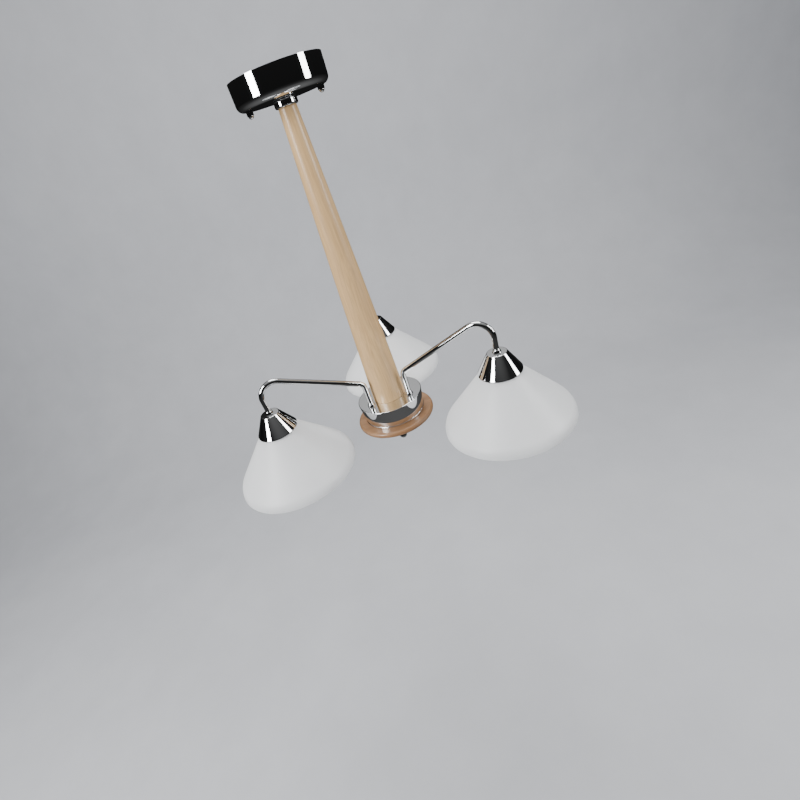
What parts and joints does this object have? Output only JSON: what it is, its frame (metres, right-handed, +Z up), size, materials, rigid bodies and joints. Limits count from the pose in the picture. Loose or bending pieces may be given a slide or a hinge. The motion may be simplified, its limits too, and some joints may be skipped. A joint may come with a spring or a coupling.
{
  "type": "multi arm chandelier",
  "caption": "Ceiling lamp with a tapered wooden stem, a chrome hub over a dark wood disc, and swivelling bent arms with downward opal glass shades.",
  "frame": {"origin": "centre of the ceiling plane: the middle of the bracket's upper face", "axes": "+Z up into the ceiling, the lamp hangs towards -Z; +Y over the back arm's base, X across"},
  "size_m": [0.5295, 0.4579, 0.5258],
  "materials": {
    "chrome": "mirror polished plate",
    "pale_wood": "clear satin lacquer on pale close-grained wood",
    "dark_wood": "dark reddish brown stain under satin lacquer",
    "opal_glass": "satin white opal glass",
    "zinc_steel": "bright zinc plate",
    "brass": "plain brass",
    "terminal_nylon": "natural nylon",
    "splice_plastic": "grey moulded plastic",
    "lead_pvc": "white insulation",
    "black_bakelite": "black moulded thermoset, slightly glossy",
    "white_steatite": "white ceramic insulator",
    "bulb_metal": "rolled nickel-plated cap",
    "bulb_glass": "white frosted glass"
  },
  "bodies": {
    "frame": {"ceiling_bracket": "zinc_steel", "bracket_studs": "zinc_steel", "canopy_cap_nuts": "chrome", "earth_screw": "brass", "canopy_cup": "chrome", "canopy_collar": "chrome", "terminal_block": "terminal_nylon", "wood_stem": "pale_wood", "threaded_rod": "zinc_steel", "rod_nuts": "zinc_steel", "mains_lead": "lead_pvc", "hub_drum": "chrome", "hub_bridge": "zinc_steel", "finial_stud": "zinc_steel", "splice_caps": "splice_plastic"},
    "arm_left": {"arm_tube_left": "chrome", "arm_lead_left": "lead_pvc", "arm_collars_left": "chrome", "arm_nut_left": "zinc_steel", "shade_cup_left": "chrome", "holder_cap_left": "black_bakelite", "holder_skirt_left": "black_bakelite", "contact_block_left": "white_steatite", "centre_contact_left": "brass", "screw_shell_left": "brass", "glass_shade_left": "opal_glass"},
    "ring_left": {"shade_ring_left": "black_bakelite"},
    "bulb_left": {"bulb_cap_left": "bulb_metal", "bulb_globe_left": "bulb_glass"},
    "arm_right": {"arm_tube_right": "chrome", "arm_lead_right": "lead_pvc", "arm_collars_right": "chrome", "arm_nut_right": "zinc_steel", "shade_cup_right": "chrome", "holder_cap_right": "black_bakelite", "holder_skirt_right": "black_bakelite", "contact_block_right": "white_steatite", "centre_contact_right": "brass", "screw_shell_right": "brass", "glass_shade_right": "opal_glass"},
    "ring_right": {"shade_ring_right": "black_bakelite"},
    "bulb_right": {"bulb_cap_right": "bulb_metal", "bulb_globe_right": "bulb_glass"},
    "arm_back": {"arm_tube_back": "chrome", "arm_lead_back": "lead_pvc", "arm_collars_back": "chrome", "arm_nut_back": "zinc_steel", "shade_cup_back": "chrome", "holder_cap_back": "black_bakelite", "holder_skirt_back": "black_bakelite", "contact_block_back": "white_steatite", "centre_contact_back": "brass", "screw_shell_back": "brass", "glass_shade_back": "opal_glass"},
    "ring_back": {"shade_ring_back": "black_bakelite"},
    "bulb_back": {"bulb_cap_back": "bulb_metal", "bulb_globe_back": "bulb_glass"},
    "bottom_cover": {"hub_bottom_plate": "chrome", "wood_disc": "dark_wood"},
    "finial_knob": {"finial": "chrome"}
  },
  "joints": [
    {"name": "arm_swivel_left", "type": "hinge", "parent": "frame", "child": "arm_left", "pos_m": [-0.03126, -0.01805, -0.436], "axis": [0, 0, 1], "range_deg": [-7, 43]},
    {"name": "ring_turn_left", "type": "hinge", "parent": "arm_left", "child": "ring_left", "pos_m": [-0.17476, -0.04855, -0.4067], "axis": [0, 0, 1], "continuous": true},
    {"name": "bulb_out_left", "type": "slide", "parent": "arm_left", "child": "bulb_left", "axis": [0, 0, -1], "range_m": [0, 0.03]},
    {"name": "arm_swivel_right", "type": "hinge", "parent": "frame", "child": "arm_right", "pos_m": [0.03126, -0.01805, -0.436], "axis": [0, 0, 1], "range_deg": [-28.6, 21.4]},
    {"name": "ring_turn_right", "type": "hinge", "parent": "arm_right", "child": "ring_right", "pos_m": [0.16266, -0.08328, -0.4067], "axis": [0, 0, 1], "continuous": true},
    {"name": "bulb_out_right", "type": "slide", "parent": "arm_right", "child": "bulb_right", "axis": [0, 0, -1], "range_m": [0, 0.03]},
    {"name": "arm_swivel_back", "type": "hinge", "parent": "frame", "child": "arm_back", "pos_m": [0, 0.0361, -0.436], "axis": [0, 0, 1], "range_deg": [-21.5, 28.5]},
    {"name": "ring_turn_back", "type": "hinge", "parent": "arm_back", "child": "ring_back", "pos_m": [0.00896, 0.18253, -0.4067], "axis": [0, 0, 1], "continuous": true},
    {"name": "bulb_out_back", "type": "slide", "parent": "arm_back", "child": "bulb_back", "axis": [0, 0, -1], "range_m": [0, 0.03]},
    {"name": "cover_drop", "type": "slide", "parent": "frame", "child": "bottom_cover", "axis": [0, 0, -1], "range_m": [0, 0.06]},
    {"name": "finial_turn", "type": "hinge", "parent": "bottom_cover", "child": "finial_knob", "pos_m": [0, 0, -0.4785], "axis": [0, 0, 1], "continuous": true}
  ]
}
